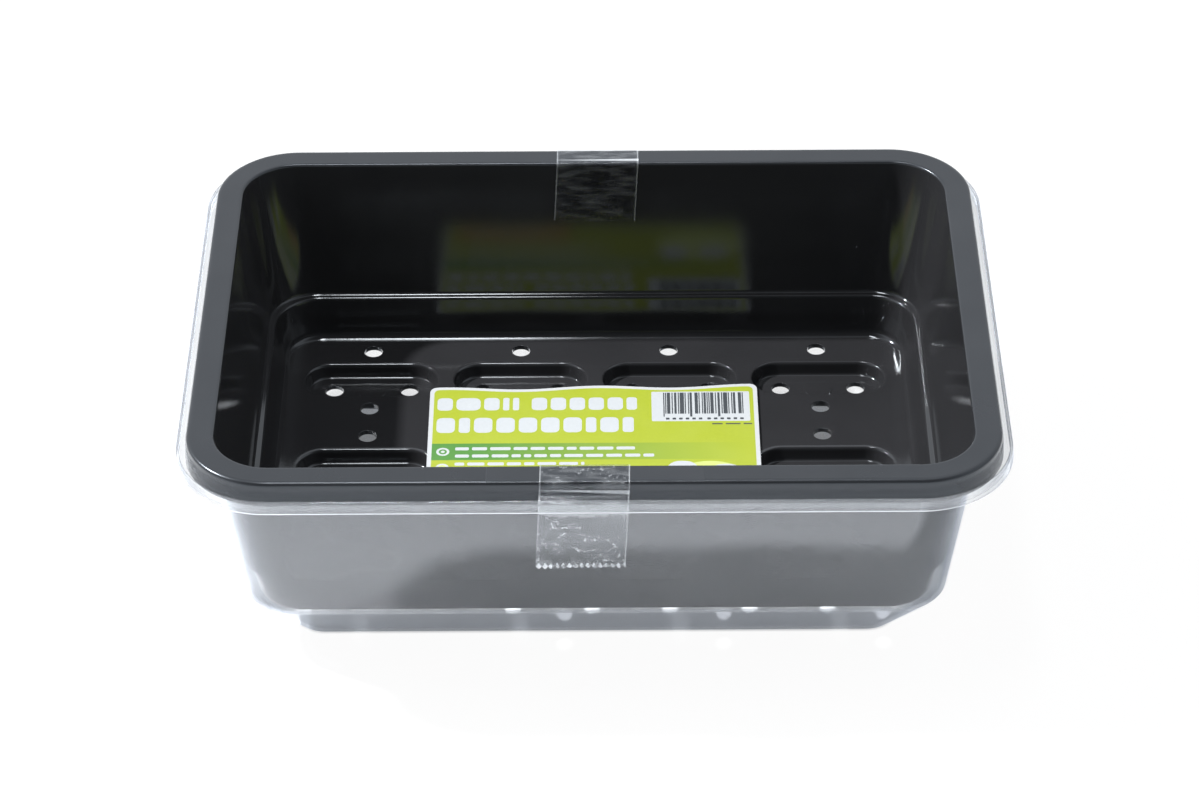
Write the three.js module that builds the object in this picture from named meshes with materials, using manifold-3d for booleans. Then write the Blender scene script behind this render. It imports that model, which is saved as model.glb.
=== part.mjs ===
// Humidity dome tray, packed for sale: a black seed tray nested the right way up inside its upturned
// clear cover, a printed card lying in the tray, and two strips of clear tape over the rim.
// Millimetres. +Z is up, +X runs along the long side, and -Y is the front. The origin is under the
// middle of the cover's flat roof, which is what the packed object stands on.
import * as THREE from "three";
import { mergeVertices } from "three/addons/utils/BufferGeometryUtils.js";
import Module from "manifold-3d";

const wasm = await Module();
wasm.setup();

// Driving dimensions of the tray. An inset is a distance in from the skirt's outer edge.
const TRAY_WIDTH = 230;
const TRAY_DEPTH = 170;
const TRAY_CORNER = 24.5;
const FLANGE_TOP = 75;
const FLANGE_WIDTH = 8.1;
const SKIRT_HEIGHT = 7.4;
const TRAY_WALL = 1.0;
const FLANGE_THICKNESS = 1.2;
const FLOOR_DEPTH = 58;
const FLOOR_THICKNESS = 1.4;
const STEP_DEPTH = 44.4;
const STEP_INSET = 14.3;
const STEP_WIDTH = 2.0;
const FLOOR_INSET = 18.7;
const SKIRT_WALL = 1.1;
const SKIRT_LEAN = 0.5;
const FLANGE_EDGE_DROP = 0.8;
const INNER_EDGE_DROP = 0.6;
const EDGE_RUN = 0.5;

// Corner radii of the tray's walls, seen from above. The outside of the wall is listed first.
const WALL_TOP_CORNER = 17.5;
const STEP_OUTER_CORNERS = [15, 16];
const FLOOR_OUTER_CORNER = 13;
const STEP_INNER_CORNERS = [14, 15];
const FLOOR_INNER_CORNER = 12;

// The floor's drainage pattern: racetrack recesses, with a hole at each end of every recess and one
// on the raised floor in front of it and behind it.
const RECESS_COLUMNS = 4;
const RECESS_ROWS = 3;
const RECESS_PITCH_X = 46;
const RECESS_PITCH_Y = 44;
const RECESS_LENGTH = 41;
const RECESS_BREADTH = 16.2;
const RECESS_DEPTH = 4.1;
const RECESS_TAPER = 1.2;
const HOLE_DIAMETER = 5.6;
const HOLE_SPREAD_X = 11.6;
const HOLE_SPREAD_Y = 15;

// Driving dimensions of the clear cover, which stands upside down.
const COVER_WALL = 0.8;
const COVER_MOUTH_INSET = 7.1;
const COVER_SHOULDER_INSET = 13.7;
const COVER_SHOULDER_HEIGHT = 18;
const COVER_ROOF_INSET = 27.4;
const LEDGE_THICKNESS = 0.9;
const LIP_HEIGHT = 4.2;
const LIP_OVERHANG = 2.9;
const LIP_THICKNESS = 0.9;
const LIP_LEAN = 0.4;
const CHAMFER_SHIFT = 0.4;
const COVER_OUTER_CORNERS = [9, 15.2, 18.6];
const COVER_INNER_CORNERS = [8.8, 14.6, 17.9];

// The printed card and the two strips of tape.
const CARD_WIDTH = 100.4;
const CARD_LENGTH = 75;
const CARD_THICKNESS = 0.5;
const CARD_CENTRE_Y = 2;
const CARD_WAVE = 1.2;
const CARD_CORNER = 2.5;
const CARD_WAVE_STEPS = 12;
const TAPE_WIDTH = 25;
const TAPE_THICKNESS = 0.3;
const TAPE_INNER_LENGTH = 20;
const TAPE_TAIL_END = 48;
const TAPE_FRONT_X = -3;
const TAPE_BACK_X = 1;
const TAPE_BEND_DROP = 0.4;
const TAPE_JOIN_INSET = 0.9;
const TAPE_JOIN_GAP = 0.6;
const TAPE_LIP_CLEARANCE = 0.7;

const GAP = 0.35;
const RIM_GAP = 0.3;
const CORNER_STEPS = 6;
const RACETRACK_STEPS = 8;
const HOLE_STEPS = 10;
const OVERLAP = 0.6;
const WELD_DISTANCE = 1e-4;

const floorTop = FLANGE_TOP - FLOOR_DEPTH;
const stepTop = FLANGE_TOP - STEP_DEPTH;
const skirtBottom = FLANGE_TOP - SKIRT_HEIGHT;
const flangeUnderside = FLANGE_TOP - FLANGE_THICKNESS;
const ledgeTop = skirtBottom - RIM_GAP;
const ledgeUnderside = ledgeTop - LEDGE_THICKNESS;
const lipTop = ledgeUnderside + LIP_HEIGHT;
const wallTopInset = FLANGE_WIDTH + EDGE_RUN;

// A rounded rectangle set in from the skirt's outer edge.
function ring(inset, corner, height) {
  const halfWidth = TRAY_WIDTH / 2 - inset - corner;
  const halfDepth = TRAY_DEPTH / 2 - inset - corner;
  const points = [];
  for (let quarter = 0; quarter < 4; quarter += 1) {
    const centreX = quarter === 0 || quarter === 3 ? halfWidth : -halfWidth;
    const centreY = quarter < 2 ? halfDepth : -halfDepth;
    for (let step = 0; step <= CORNER_STEPS; step += 1) {
      const angle = (quarter + step / CORNER_STEPS) * (Math.PI / 2);
      points.push([
        centreX + corner * Math.cos(angle),
        centreY + corner * Math.sin(angle),
        height,
      ]);
    }
  }
  return points;
}

// A racetrack outline round (x, y): two half circles joined by straight sides along X.
function racetrackRing(x, y, length, breadth, height) {
  const radius = breadth / 2;
  const points = [];
  for (let step = 0; step <= RACETRACK_STEPS; step += 1) {
    const angle = -Math.PI / 2 + (step / RACETRACK_STEPS) * Math.PI;
    points.push([x + length / 2 - radius + radius * Math.cos(angle), y + radius * Math.sin(angle), height]);
  }
  for (let step = 0; step <= RACETRACK_STEPS; step += 1) {
    const angle = Math.PI / 2 + (step / RACETRACK_STEPS) * Math.PI;
    points.push([x - length / 2 + radius + radius * Math.cos(angle), y + radius * Math.sin(angle), height]);
  }
  return points;
}

function circleRing(x, y, diameter, height) {
  const points = [];
  for (let step = 0; step < HOLE_STEPS; step += 1) {
    const angle = (step / HOLE_STEPS) * Math.PI * 2;
    points.push([x + (diameter / 2) * Math.cos(angle), y + (diameter / 2) * Math.sin(angle), height]);
  }
  return points;
}

// Joins outlines of equal length into one closed skin. The first outline is capped facing down and
// the last one facing up, so the outlines run up the outside of the piece and back down its inside.
function loft(rings) {
  const positions = rings.flat(2);
  const indices = [];
  const count = rings[0].length;
  for (let level = 0; level < rings.length - 1; level += 1) {
    for (let i = 0; i < count; i += 1) {
      const a = level * count + i;
      const b = level * count + ((i + 1) % count);
      indices.push(a, b, b + count, a, b + count, a + count);
    }
  }
  const bottomCentre = positions.length / 3;
  positions.push(...averagePoint(rings[0]));
  const topCentre = positions.length / 3;
  positions.push(...averagePoint(rings[rings.length - 1]));
  const lastRing = (rings.length - 1) * count;
  for (let i = 0; i < count; i += 1) {
    const next = (i + 1) % count;
    indices.push(bottomCentre, next, i);
    indices.push(topCentre, lastRing + i, lastRing + next);
  }
  const geometry = new THREE.BufferGeometry();
  geometry.setAttribute("position", new THREE.Float32BufferAttribute(positions, 3));
  geometry.setIndex(indices);
  return geometry;
}

function averagePoint(points) {
  const sum = [0, 0, 0];
  for (const point of points) {
    sum[0] += point[0];
    sum[1] += point[1];
    sum[2] += point[2];
  }
  return sum.map((value) => value / points.length);
}

// Pushes a closed outline in the plane across the tape through the tape's width. The outline lists
// (distance out from the middle of the tray, height) and side is -1 for the front, +1 for the back.
function tapeStrip(outline, centreX, side) {
  const shape = new THREE.Shape(outline.map(([out, height]) => new THREE.Vector2(out, height)));
  const geometry = new THREE.ExtrudeGeometry(shape, { depth: TAPE_WIDTH, bevelEnabled: false });
  geometry.translate(0, 0, -TAPE_WIDTH / 2);
  const turn = new THREE.Matrix4();
  if (side > 0) {
    turn.set(0, 0, 1, centreX, 1, 0, 0, 0, 0, 1, 0, 0, 0, 0, 0, 1);
  } else {
    turn.set(0, 0, -1, centreX, -1, 0, 0, 0, 0, 1, 0, 0, 0, 0, 0, 1);
  }
  geometry.applyMatrix4(turn);
  return geometry;
}

function toManifold(geometry) {
  const bare = geometry.clone();
  bare.deleteAttribute("normal");
  bare.deleteAttribute("uv");
  const merged = mergeVertices(bare, WELD_DISTANCE);
  const vertProperties = new Float32Array(merged.getAttribute("position").array);
  const triVerts = new Uint32Array(merged.getIndex().array);
  return new wasm.Manifold(new wasm.Mesh({ numProp: 3, vertProperties, triVerts }));
}

function toGeometry(manifold) {
  const mesh = manifold.getMesh();
  const geometry = new THREE.BufferGeometry();
  geometry.setAttribute("position", new THREE.Float32BufferAttribute(mesh.vertProperties, 3));
  geometry.setIndex(new THREE.Uint32BufferAttribute(mesh.triVerts, 1));
  return geometry;
}

function recessCentres() {
  const centres = [];
  for (let row = 0; row < RECESS_ROWS; row += 1) {
    for (let column = 0; column < RECESS_COLUMNS; column += 1) {
      centres.push([
        (column - (RECESS_COLUMNS - 1) / 2) * RECESS_PITCH_X,
        (row - (RECESS_ROWS - 1) / 2) * RECESS_PITCH_Y,
      ]);
    }
  }
  return centres;
}

// A ring whose corners keep the same centre as the skirt's outer corners.
function rimRing(inset, height) {
  return ring(inset, TRAY_CORNER - inset, height);
}

// The tray without its recesses, from its underside out to the skirt, over the flange and down inside.
function trayShell() {
  const stepUnderside = stepTop - TRAY_WALL;
  const stepInnerInset = STEP_INSET + STEP_WIDTH;
  return loft([
    ring(FLOOR_INSET - TRAY_WALL, FLOOR_OUTER_CORNER, floorTop - FLOOR_THICKNESS),
    ring(stepInnerInset - TRAY_WALL, STEP_OUTER_CORNERS[0], stepUnderside),
    ring(STEP_INSET - TRAY_WALL, STEP_OUTER_CORNERS[1], stepUnderside),
    ring(wallTopInset - TRAY_WALL, WALL_TOP_CORNER, flangeUnderside),
    rimRing(SKIRT_WALL + SKIRT_LEAN, flangeUnderside),
    rimRing(SKIRT_WALL, skirtBottom),
    rimRing(0, skirtBottom),
    rimRing(SKIRT_LEAN, FLANGE_TOP - FLANGE_EDGE_DROP),
    rimRing(SKIRT_LEAN + SKIRT_WALL, FLANGE_TOP),
    rimRing(FLANGE_WIDTH, FLANGE_TOP),
    rimRing(wallTopInset, FLANGE_TOP - INNER_EDGE_DROP),
    ring(STEP_INSET, STEP_INNER_CORNERS[1], stepTop),
    ring(stepInnerInset, STEP_INNER_CORNERS[0], stepTop),
    ring(FLOOR_INSET, FLOOR_INNER_CORNER, floorTop),
  ]);
}

// The body of plastic round one recess, joined to the floor from below.
function recessBoss(x, y) {
  const lowest = floorTop - RECESS_DEPTH - FLOOR_THICKNESS;
  const highest = floorTop - OVERLAP;
  const length = RECESS_LENGTH + 2 * TRAY_WALL;
  const breadth = RECESS_BREADTH + 2 * TRAY_WALL;
  const narrowing = 2 * RECESS_TAPER;
  return loft([
    racetrackRing(x, y, length - narrowing, breadth - narrowing, lowest),
    racetrackRing(x, y, length, breadth, highest),
  ]);
}

// The hollow of one recess, cut from the floor from above.
function recessPocket(x, y) {
  const recessFloor = floorTop - RECESS_DEPTH;
  const narrowing = 2 * RECESS_TAPER;
  const widening = (narrowing * OVERLAP) / RECESS_DEPTH;
  return loft([
    racetrackRing(x, y, RECESS_LENGTH - narrowing, RECESS_BREADTH - narrowing, recessFloor),
    racetrackRing(x, y, RECESS_LENGTH + widening, RECESS_BREADTH + widening, floorTop + OVERLAP),
  ]);
}

function drainHole(x, y, top) {
  return loft([
    circleRing(x, y, HOLE_DIAMETER, top - FLOOR_THICKNESS - OVERLAP),
    circleRing(x, y, HOLE_DIAMETER, top + OVERLAP),
  ]);
}

function baseTrayGeometry() {
  let tray = toManifold(trayShell());
  for (const [x, y] of recessCentres()) {
    tray = tray.add(toManifold(recessBoss(x, y)));
  }
  for (const [x, y] of recessCentres()) {
    tray = tray.subtract(toManifold(recessPocket(x, y)));
    for (const side of [-1, 1]) {
      const recessFloor = floorTop - RECESS_DEPTH;
      tray = tray.subtract(toManifold(drainHole(x + side * HOLE_SPREAD_X, y, recessFloor)));
      tray = tray.subtract(toManifold(drainHole(x, y + side * HOLE_SPREAD_Y, floorTop)));
    }
  }
  return toGeometry(tray);
}

// The cover from its roof up the outside to the lip and back down inside.
function clearCoverGeometry() {
  const [roofOuter, shoulderOuter, mouthOuter] = COVER_OUTER_CORNERS;
  const [roofInner, shoulderInner, mouthInner] = COVER_INNER_CORNERS;
  return loft([
    ring(COVER_ROOF_INSET, roofOuter, 0),
    ring(COVER_SHOULDER_INSET, shoulderOuter, COVER_SHOULDER_HEIGHT),
    ring(COVER_MOUTH_INSET, mouthOuter, ledgeUnderside),
    rimRing(-LIP_OVERHANG, ledgeUnderside),
    rimRing(LIP_LEAN - LIP_OVERHANG, lipTop),
    rimRing(LIP_LEAN + LIP_THICKNESS - LIP_OVERHANG, lipTop),
    rimRing(LIP_THICKNESS - LIP_OVERHANG, ledgeTop),
    ring(COVER_MOUTH_INSET + COVER_WALL, mouthInner, ledgeTop),
    ring(COVER_SHOULDER_INSET + COVER_WALL, shoulderInner, COVER_SHOULDER_HEIGHT + CHAMFER_SHIFT),
    ring(COVER_ROOF_INSET + CHAMFER_SHIFT, roofInner, COVER_WALL),
  ]);
}

// A flat card with rounded corners and a gently waved back edge, lying just above the raised floor.
function labelCardGeometry() {
  const left = -CARD_WIDTH / 2;
  const right = CARD_WIDTH / 2;
  const front = CARD_CENTRE_Y - CARD_LENGTH / 2;
  const back = CARD_CENTRE_Y + CARD_LENGTH / 2 - CARD_WAVE;
  const corner = CARD_CORNER;
  const shape = new THREE.Shape();
  shape.moveTo(left + corner, front);
  shape.lineTo(right - corner, front);
  shape.quadraticCurveTo(right, front, right, front + corner);
  shape.lineTo(right, back - corner);
  shape.quadraticCurveTo(right, back, right - corner, back);
  for (let step = 1; step < CARD_WAVE_STEPS; step += 1) {
    const along = step / CARD_WAVE_STEPS;
    const x = right - corner + (2 * corner - CARD_WIDTH) * along;
    shape.lineTo(x, back + CARD_WAVE * Math.sin(along * Math.PI));
  }
  shape.lineTo(left + corner, back);
  shape.quadraticCurveTo(left, back, left, back - corner);
  shape.lineTo(left, front + corner);
  shape.quadraticCurveTo(left, front, left + corner, front);
  const geometry = new THREE.ExtrudeGeometry(shape, {
    depth: CARD_THICKNESS,
    bevelEnabled: false,
    curveSegments: 3,
  });
  geometry.translate(0, 0, floorTop + GAP);
  return toGeometry(toManifold(geometry));
}

// The part of a tape that is stuck over the flange and down the inside of the tray's wall.
function tapeOverRim(centreX, side) {
  const halfDepth = TRAY_DEPTH / 2;
  const legBottom = FLANGE_TOP - TAPE_INNER_LENGTH;
  const wallSlope = (STEP_INSET - wallTopInset) / (STEP_DEPTH - INNER_EDGE_DROP);
  const legReach = halfDepth - wallTopInset - wallSlope * TAPE_INNER_LENGTH - GAP;
  const bendReach = halfDepth - wallTopInset - GAP;
  const joinReach = halfDepth - TAPE_JOIN_INSET;
  const low = FLANGE_TOP + GAP;
  const high = low + TAPE_THICKNESS;
  const bendHeight = FLANGE_TOP - TAPE_BEND_DROP;
  const outline = [
    [legReach, legBottom],
    [bendReach, bendHeight],
    [bendReach + GAP, low],
    [joinReach, low],
    [joinReach, high],
    [bendReach, high],
    [bendReach - TAPE_THICKNESS, bendHeight],
    [legReach - TAPE_THICKNESS, legBottom],
  ];
  return toGeometry(toManifold(tapeStrip(outline, centreX, side)));
}

// The free part of a tape, hanging outside the skirt and the cover's lip.
function tapeTail(centreX, side) {
  const halfDepth = TRAY_DEPTH / 2;
  const joinReach = halfDepth - TAPE_JOIN_INSET + TAPE_JOIN_GAP;
  const hang = halfDepth + LIP_OVERHANG + GAP;
  const bendHeight = lipTop + TAPE_LIP_CLEARANCE;
  const low = FLANGE_TOP + GAP;
  const outline = [
    [joinReach, low],
    [hang, bendHeight],
    [hang, TAPE_TAIL_END],
    [hang + TAPE_THICKNESS, TAPE_TAIL_END],
    [hang + TAPE_THICKNESS, bendHeight + TAPE_THICKNESS],
    [joinReach + TAPE_THICKNESS, low + TAPE_THICKNESS],
  ];
  return toGeometry(toManifold(tapeStrip(outline, centreX, side)));
}

function clearPlastic() {
  return new THREE.MeshStandardMaterial({ color: 0xdfe6ea, roughness: 0.1, transparent: true, opacity: 0.3 });
}

function blackPlastic() {
  return new THREE.MeshStandardMaterial({ color: 0x17181a, roughness: 0.3 });
}

function greenCard() {
  return new THREE.MeshStandardMaterial({ color: 0xc6d63a, roughness: 0.5 });
}

function clearTape() {
  return new THREE.MeshStandardMaterial({ color: 0xf2f4f5, roughness: 0.2, transparent: true, opacity: 0.4 });
}

function addPart(assembly, name, geometry, material) {
  geometry.computeVertexNormals();
  const mesh = new THREE.Mesh(geometry, material);
  mesh.name = name;
  assembly.add(mesh);
}

const assembly = new THREE.Group();
assembly.name = "humidity_dome_tray";
addPart(assembly, "clear_cover", toGeometry(toManifold(clearCoverGeometry())), clearPlastic());
addPart(assembly, "base_tray", baseTrayGeometry(), blackPlastic());
addPart(assembly, "label_card", labelCardGeometry(), greenCard());
addPart(assembly, "tape_front", tapeOverRim(TAPE_FRONT_X, -1), clearTape());
addPart(assembly, "tape_front_tail", tapeTail(TAPE_FRONT_X, -1), clearTape());
addPart(assembly, "tape_back", tapeOverRim(TAPE_BACK_X, 1), clearTape());
addPart(assembly, "tape_back_tail", tapeTail(TAPE_BACK_X, 1), clearTape());

export default assembly;
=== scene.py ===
import math
import random

import bmesh
import bpy
from mathutils import Matrix, Vector
from mathutils.geometry import delaunay_2d_cdt


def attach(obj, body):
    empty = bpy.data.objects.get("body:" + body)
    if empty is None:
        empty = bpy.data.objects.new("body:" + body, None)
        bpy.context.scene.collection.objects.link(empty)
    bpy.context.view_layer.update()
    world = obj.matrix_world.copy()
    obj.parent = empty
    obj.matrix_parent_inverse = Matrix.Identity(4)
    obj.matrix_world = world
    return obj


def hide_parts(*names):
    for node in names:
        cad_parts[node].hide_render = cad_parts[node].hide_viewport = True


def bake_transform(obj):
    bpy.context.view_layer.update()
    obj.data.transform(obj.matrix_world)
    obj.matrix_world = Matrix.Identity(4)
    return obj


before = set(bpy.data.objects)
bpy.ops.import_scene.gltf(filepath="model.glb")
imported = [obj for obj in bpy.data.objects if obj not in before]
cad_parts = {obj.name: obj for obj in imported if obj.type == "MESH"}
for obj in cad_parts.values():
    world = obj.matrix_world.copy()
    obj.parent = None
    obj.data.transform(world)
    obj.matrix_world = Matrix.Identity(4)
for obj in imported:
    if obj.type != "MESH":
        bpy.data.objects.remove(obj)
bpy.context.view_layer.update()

# ---------------------------------------------------------------------------
# Driving sizes, in millimetres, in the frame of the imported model.
# Insets are measured inwards from the outer edge of the tray's skirt.
# ---------------------------------------------------------------------------
MM = 0.001
LENGTH = 230.0  # over the tray's skirt, along X
WIDTH = 170.0  # over the tray's skirt, along Y
CORNER_STEPS = 20
FILLET_STEPS = 6
SUPPORT = 0.4  # length of the narrow strips that separate curved from flat surfaces

FLANGE_Z = 75.0
SKIRT_FOOT_Z = 67.6
FLANGE_UNDERSIDE_Z = 73.8
STEP_Z = 30.6
STEP_UNDERSIDE_Z = 29.5
FLOOR_Z = 17.0
FLOOR_THICKNESS = 1.4
RECESS_DEPTH = 4.1
MOUTH_INSET = 8.35
STEP_INSET = 14.3
EDGE_CORNER = 24.5

COVER_WALL = 0.8
SHOULDER_Z = 18.0
LEDGE_Z = 66.4
LEDGE_THICKNESS = 0.9
LIP_TOP_Z = 70.6
ROOF_INSET = 27.4
ROOF_CORNER = 9.0

RECESS_LENGTH = 41.0
RECESS_WIDTH = 16.2
RECESS_PITCH_X = 46.0
RECESS_PITCH_Y = 44.0
HOLE_RADIUS = 2.8
HOLE_IN_RECESS_X = 11.6
HOLE_BESIDE_RECESS_Y = 15.0
HOLE_LIP = 0.3
EJECTOR_RADIUS = 4.5
EJECTOR_HEIGHT = 0.09

UNDERSIDE_Z = FLOOR_Z - FLOOR_THICKNESS
RECESS_Z = FLOOR_Z - RECESS_DEPTH
RECESS_UNDERSIDE_Z = RECESS_Z - FLOOR_THICKNESS
LEDGE_TOP_Z = LEDGE_Z + LEDGE_THICKNESS
RECESS_COLUMNS = [RECESS_PITCH_X * step for step in (-1.5, -0.5, 0.5, 1.5)]
RECESS_ROWS = [RECESS_PITCH_Y * step for step in (-1, 0, 1)]

# Profiles as (inset, corner radius, height, softening radius), from the underside round to the inside.
TRAY_PROFILE = [
    (21.0, 9.8, UNDERSIDE_Z, 0.0),
    (17.8, 13.0, UNDERSIDE_Z, 3.0),
    (15.3, 15.0, STEP_UNDERSIDE_Z, 0.8),
    (13.3, 16.0, STEP_UNDERSIDE_Z, 1.0),
    (7.5, 17.5, FLANGE_UNDERSIDE_Z, 1.2),
    (1.7, 22.8, FLANGE_UNDERSIDE_Z, 0.6),
    (1.1, 23.4, SKIRT_FOOT_Z, 0.25),
    (0.0, EDGE_CORNER, SKIRT_FOOT_Z, 0.25),
    (0.45, 24.05, FLANGE_Z, 1.4),
    (MOUTH_INSET, 16.15, FLANGE_Z, 0.9),
    (STEP_INSET, 15.0, STEP_Z, 1.0),
    (16.3, 14.0, STEP_Z, 0.9),
    (18.7, 12.0, FLOOR_Z, 3.0),
    (22.5, 8.2, FLOOR_Z, 0.0),
]
COVER_PROFILE = [
    (31.0, 5.4, 0.0, 0.0),
    (ROOF_INSET, ROOF_CORNER, 0.0, 1.6),
    (13.7, 15.2, SHOULDER_Z, 2.2),
    (7.1, 18.6, LEDGE_Z, 1.2),
    (-2.9, 27.4, LEDGE_Z, 0.9),
    (-2.5, 27.0, LIP_TOP_Z, 0.4),
    (-1.6, 26.1, LIP_TOP_Z, 0.4),
    (-2.0, 26.5, LEDGE_TOP_Z, 0.3),
    (7.9, 17.9, LEDGE_TOP_Z, 0.6),
    (14.5, 14.6, SHOULDER_Z + COVER_WALL / 2, 1.6),
    (27.8, 8.8, COVER_WALL, 1.2),
    (31.2, 5.4, COVER_WALL, 0.0),
]
# Profiles as (growth of the recess outline, 0, height, softening radius).
RECESS_PROFILE = [
    (1.3, 0.0, FLOOR_Z, 0.0),
    (0.0, 0.0, FLOOR_Z, 1.3),
    (-1.2, 0.0, RECESS_Z, 1.0),
    (-2.4, 0.0, RECESS_Z, 0.0),
]
BOSS_PROFILE = [
    (2.0, 0.0, UNDERSIDE_Z, 0.0),
    (0.8, 0.0, UNDERSIDE_Z, 1.0),
    (-0.2, 0.0, RECESS_UNDERSIDE_Z, 1.0),
    (-1.4, 0.0, RECESS_UNDERSIDE_Z, 0.0),
]

LABEL_LEFT = -50.6
LABEL_RIGHT = 49.8
LABEL_FRONT = -35.4
LABEL_BACK = 38.4
LABEL_TOP_Z = 17.85
LABEL_THICKNESS = 0.45
LABEL_BORDER = 1.3
LABEL_CORNER = 2.4
LABEL_WAVE = 0.75
LABEL_WAVE_PITCH = 46.5
LABEL_WAVE_CREST = 0.8
LABEL_SKEW = 0.012  # the card lies a little askew

TAPE_WIDTH = 25.0
TAPE_THICKNESS = 0.12
TAPE_STEP = 0.9  # spacing of the mesh along the tape
TAPE_WALL_GAP = 0.28
TAPE_RIM_GAP = 0.22
TAPE_TAIL_REACH = 88.3
TAPE_TAIL_END_Z = 48.2
FRONT_TAPE_INNER_END = 55.0
BACK_TAPE_INNER_END = 55.7
SERRATION = 1.7  # pitch of the cutter's teeth
TOOTH_HEIGHT = 0.45

# ---------------------------------------------------------------------------
# Driving values for the looks. Colours are linear, and sizes in materials are in metres.
# ---------------------------------------------------------------------------
GLOSS_BLACK = (0.0145, 0.0147, 0.0160)
SATIN_BLACK = ((0.008, 0.0085, 0.010), (0.015, 0.016, 0.018))
COOL_TINT = (0.88, 0.94, 1.0, 1.0)
COOLER_TINT = (0.82, 0.9, 1.0, 1.0)
COOL_MIRROR = (0.9, 0.93, 1.0, 1.0)
CLEAR_TINT = (0.985, 0.988, 0.99)
PAD_X = (-0.0299, 0.0303)  # the smooth blank pad on the front flange
PAD_Y = (-0.0838, -0.0772)

LIME = (0.207, 0.245, 0.0161)
WHITE_EDGE = (0.31, 0.32, 0.33)
WHITE_INK = (0.302, 0.318, 0.33)
BAND_GREEN = (0.045, 0.14, 0.025)
PALE_GREEN = (0.32, 0.37, 0.11)
DARK_INK = (0.03, 0.035, 0.04)
WARM_INK = (0.3, 0.17, 0.03)
BAND_FADE = (-0.036, 0.046)  # where the green band starts and ends its fade to lime

FLOOR_DROP = 0.0003
FLOOR_REACH = 4.0
WORLD_TINT = (0.92, 0.96, 1.0)
WORLD_STRENGTH = 1.25
DIM_STRENGTH = 0.105
DIM_DIRECTION = (0.0, -0.62, 0.785)  # above and behind the camera
KEY_PLACE = (-2.14, 0.59, 2.54)
KEY_SIZE = 0.13
KEY_POWER = 286.0
STRIP_PLACE = (-0.1, 0.0, 1.3)
STRIP_SIZE = (0.5, 0.12)
STRIP_POWER = 7.0
CAMERA_PLACE = (0.0029, -0.9813, 0.7612)
CAMERA_FORWARD = (-0.00108, 0.80621, -0.59162)
CAMERA_YAW = -0.077  # degrees
CAMERA_ROLL = -0.356  # degrees
CAMERA_LENS = 123.0

# ---------------------------------------------------------------------------
# Outlines, all lists of (x, y, z) in millimetres, counter-clockwise from above
# ---------------------------------------------------------------------------


def arc(centre_x, centre_y, radius, start, end, steps, height):
    """Points on an arc from start to end, in quarter turns."""
    points = []
    for step in range(steps + 1):
        angle = (start + (end - start) * step / steps) * math.pi / 2
        x = centre_x + radius * math.cos(angle)
        y = centre_y + radius * math.sin(angle)
        points.append((x, y, height))
    return points


def with_supports(bend, start, end):
    """The arc with one more point on the straight at each end, which keeps the flat walls' shading flat."""
    supported = [Vector(point) for point in bend]
    start_angle = start * math.pi / 2
    end_angle = end * math.pi / 2
    before = Vector((-math.sin(start_angle), math.cos(start_angle), 0)) * -SUPPORT
    after = Vector((-math.sin(end_angle), math.cos(end_angle), 0)) * SUPPORT
    return [tuple(supported[0] + before), *bend, tuple(supported[-1] + after)]


def tray_ring(inset, corner, height):
    """A rounded rectangle set in from the tray's outer edge."""
    reach_x = LENGTH / 2 - inset - corner
    reach_y = WIDTH / 2 - inset - corner
    signs = ((1, 1), (-1, 1), (-1, -1), (1, -1))
    points = []
    for quarter, (sign_x, sign_y) in enumerate(signs):
        bend = arc(sign_x * reach_x, sign_y * reach_y, corner, quarter, quarter + 1, CORNER_STEPS, height)
        points += with_supports(bend, quarter, quarter + 1)
    return points


def recess_ring(centre, growth, height):
    """A long slot with round ends, grown outwards by the given amount."""
    radius = RECESS_WIDTH / 2 + growth
    reach = (RECESS_LENGTH - RECESS_WIDTH) / 2
    right = arc(centre[0] + reach, centre[1], radius, -1, 1, CORNER_STEPS, height)
    left = arc(centre[0] - reach, centre[1], radius, 1, 3, CORNER_STEPS, height)
    return with_supports(right, -1, 1) + with_supports(left, 1, 3)


def circle(centre, radius, height, steps=28):
    """A full circle."""
    return arc(centre[0], centre[1], radius, 0, 4, steps, height)[:-1]


def softened(profile):
    """A profile with each corner that has a softening radius turned into a short curve."""
    result = [profile[0][:3]]
    for before, here, after in zip(profile, profile[1:], profile[2:]):
        if here[3] == 0:
            result.append(here[:3])
            continue
        point = Vector(here[:3])
        back = Vector(before[:3]) - point
        ahead = Vector(after[:3]) - point
        flat_back = Vector((back[0], back[2]))
        flat_ahead = Vector((ahead[0], ahead[2]))
        half_turn = (math.pi - flat_back.angle(flat_ahead)) / 2
        trim = here[3] * math.tan(half_turn)
        start_share = min(trim / flat_back.length, 0.45)
        end_share = min(trim / flat_ahead.length, 0.45)
        start = point + back * start_share
        end = point + ahead * end_share
        if flat_back.length * (0.5 - start_share) > SUPPORT:
            result.append(tuple(start + back * (SUPPORT / flat_back.length)))
        for step in range(FILLET_STEPS + 1):
            t = step / FILLET_STEPS
            result.append(tuple(start * (1 - t) ** 2 + point * 2 * t * (1 - t) + end * t ** 2))
        if flat_ahead.length * (0.5 - end_share) > SUPPORT:
            result.append(tuple(end + ahead * (SUPPORT / flat_ahead.length)))
    result.append(profile[-1][:3])
    return result


# ---------------------------------------------------------------------------
# Mesh helpers
# ---------------------------------------------------------------------------


def loft(mesh, rings, material_of=None):
    """Joins rings of equal length with quads. material_of gives a material index for a height."""
    rows = [[mesh.verts.new(Vector(point) * MM) for point in ring] for ring in rings]
    for row, following, ring in zip(rows, rows[1:], rings):
        for i in range(len(row)):
            j = (i + 1) % len(row)
            face = mesh.faces.new((row[i], row[j], following[j], following[i]))
            face.smooth = True
            face.material_index = material_of(ring) if material_of else 0


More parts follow.
